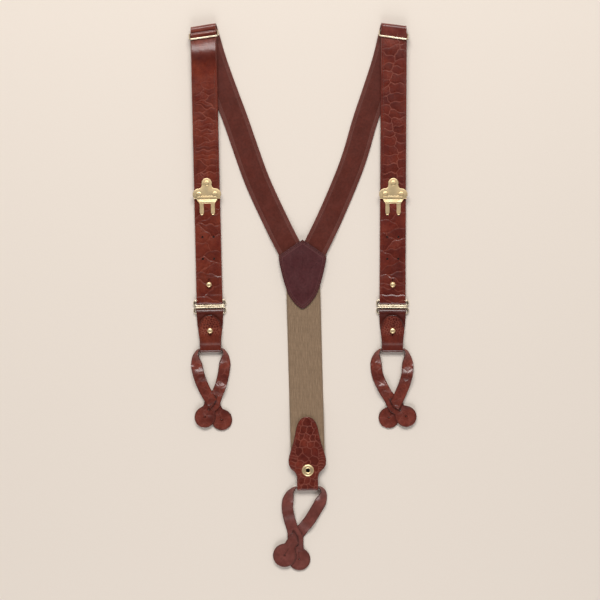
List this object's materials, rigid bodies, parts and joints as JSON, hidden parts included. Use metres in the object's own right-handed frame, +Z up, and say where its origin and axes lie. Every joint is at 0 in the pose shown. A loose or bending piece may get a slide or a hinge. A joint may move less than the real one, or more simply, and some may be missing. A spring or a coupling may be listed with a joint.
{
  "type": "suspenders",
  "caption": "Leather braces with croc grain front straps, hook adjusters, wire loops, button straps, a yoke and an elastic back.",
  "frame": {"origin": "on the floor under the middle of the box that holds the braces as they lie flat", "axes": "+Z up off the floor with the croc side of the front straps up, +Y towards the shoulder folds, +X to the right"},
  "size_m": [0.2502, 0.6016, 0.01],
  "materials": {
    "croc_leather": "glossy croc grain",
    "lining_leather": "smooth, lightly polished",
    "yoke_leather": "smooth, satin",
    "elastic_webbing": "ribbed weave",
    "brass": "polished",
    "gilt_wire": "polished pale gilt"
  },
  "bodies": {
    "root": {"yoke_inner_patch": "yoke_leather", "yoke_outer_patch": "croc_leather", "elastic_web": "elastic_webbing", "left_arm": "croc_leather", "left_arm_lining": "lining_leather", "left_shoulder_fold": "croc_leather", "right_arm": "croc_leather", "right_arm_lining": "lining_leather", "right_shoulder_fold": "croc_leather"},
    "left_front": {"left_front_run": "croc_leather", "left_front_run_lining": "lining_leather", "left_hook_plate": "brass", "left_plate_rivet_top": "brass", "left_plate_rivet_inner": "brass", "left_plate_rivet_outer": "brass"},
    "left_hole_strap_body": {"left_hole_strap": "croc_leather", "left_hole_strap_lining": "lining_leather", "left_upper_stud": "brass"},
    "left_keeper": {"left_keeper_loop": "gilt_wire"},
    "left_loop": {"left_double_loop": "gilt_wire"},
    "left_tab": {"left_lower_tab": "croc_leather", "left_lower_stud": "brass"},
    "left_button": {"left_button_strap": "croc_leather"},
    "right_front": {"right_front_run": "croc_leather", "right_front_run_lining": "lining_leather", "right_hook_plate": "brass", "right_plate_rivet_top": "brass", "right_plate_rivet_inner": "brass", "right_plate_rivet_outer": "brass"},
    "right_hole_strap_body": {"right_hole_strap": "croc_leather", "right_hole_strap_lining": "lining_leather", "right_upper_stud": "brass"},
    "right_keeper": {"right_keeper_loop": "gilt_wire"},
    "right_loop": {"right_double_loop": "gilt_wire"},
    "right_tab": {"right_lower_tab": "croc_leather", "right_lower_stud": "brass"},
    "right_button": {"right_button_strap": "croc_leather"},
    "rear_tab_body": {"rear_tab": "croc_leather", "rear_eyelet": "brass", "eyelet_washer": "brass"},
    "rear_button": {"rear_button_strap": "lining_leather"}
  },
  "joints": [
    {"name": "left_shoulder_fold_hinge", "type": "hinge", "parent": "root", "child": "left_front", "pos_m": [-0.109, 0.29916, 0.00411], "axis": [-0.9875, -0.1576, 0], "range_deg": [0, 180], "deforming": ["left_shoulder_fold"]},
    {"name": "left_length_slide", "type": "slide", "parent": "left_front", "child": "left_hole_strap_body", "axis": [0.0227, -0.9997, -0.0091], "range_m": [0, 0.144]},
    {"name": "left_keeper_tilt", "type": "hinge", "parent": "left_hole_strap_body", "child": "left_keeper", "pos_m": [-0.10879, 0.29011, 0.0043], "axis": [-0.9903, -0.1392, -0.0011], "range_deg": [0, 40]},
    {"name": "left_loop_swing", "type": "hinge", "parent": "left_hole_strap_body", "child": "left_loop", "pos_m": [-0.10212, -0.0039, 0.0021], "axis": [-0.9997, -0.0227, 0], "range_deg": [0, 90]},
    {"name": "left_tab_swing", "type": "hinge", "parent": "left_loop", "child": "left_tab", "pos_m": [-0.10179, -0.01829, 0.0021], "axis": [-0.9997, -0.0227, 0], "range_deg": [0, 60]},
    {"name": "left_button_strap_swing", "type": "hinge", "parent": "left_tab", "child": "left_button", "pos_m": [-0.10089, -0.05783, 0.00295], "axis": [-0.9997, -0.0227, 0], "range_deg": [0, 40]},
    {"name": "right_shoulder_fold_hinge", "type": "hinge", "parent": "root", "child": "right_front", "pos_m": [0.10026, 0.3, 0.00411], "axis": [-0.9924, 0.1233, 0], "range_deg": [0, 180], "deforming": ["right_shoulder_fold"]},
    {"name": "right_length_slide", "type": "slide", "parent": "right_front", "child": "right_hole_strap_body", "axis": [-0.0045, -0.9999, -0.0091], "range_m": [0, 0.144]},
    {"name": "right_keeper_tilt", "type": "hinge", "parent": "right_hole_strap_body", "child": "right_keeper", "pos_m": [0.10022, 0.29018, 0.0043], "axis": [-0.9904, 0.1385, 0.0012], "range_deg": [0, 40]},
    {"name": "right_loop_swing", "type": "hinge", "parent": "right_hole_strap_body", "child": "right_loop", "pos_m": [0.09888, -0.0039, 0.0021], "axis": [-1, 0.0045, 0], "range_deg": [0, 90]},
    {"name": "right_tab_swing", "type": "hinge", "parent": "right_loop", "child": "right_tab", "pos_m": [0.09882, -0.0183, 0.0021], "axis": [-1, 0.0045, 0], "range_deg": [0, 60]},
    {"name": "right_button_strap_swing", "type": "hinge", "parent": "right_tab", "child": "right_button", "pos_m": [0.09864, -0.05785, 0.00295], "axis": [-1, 0.0045, 0], "range_deg": [0, 40]},
    {"name": "elastic_stretch", "type": "slide", "parent": "root", "child": "rear_tab_body", "axis": [0.027, -0.9996, 0], "range_m": [0, 0.05], "stiffness_N_per_m": 120, "deforming": ["elastic_web"]},
    {"name": "rear_button_strap_swing", "type": "hinge", "parent": "rear_tab_body", "child": "rear_button", "pos_m": [0.00562, -0.20935, 0.00385], "axis": [-0.9999, -0.0108, 0], "range_deg": [0, 60]}
  ]
}
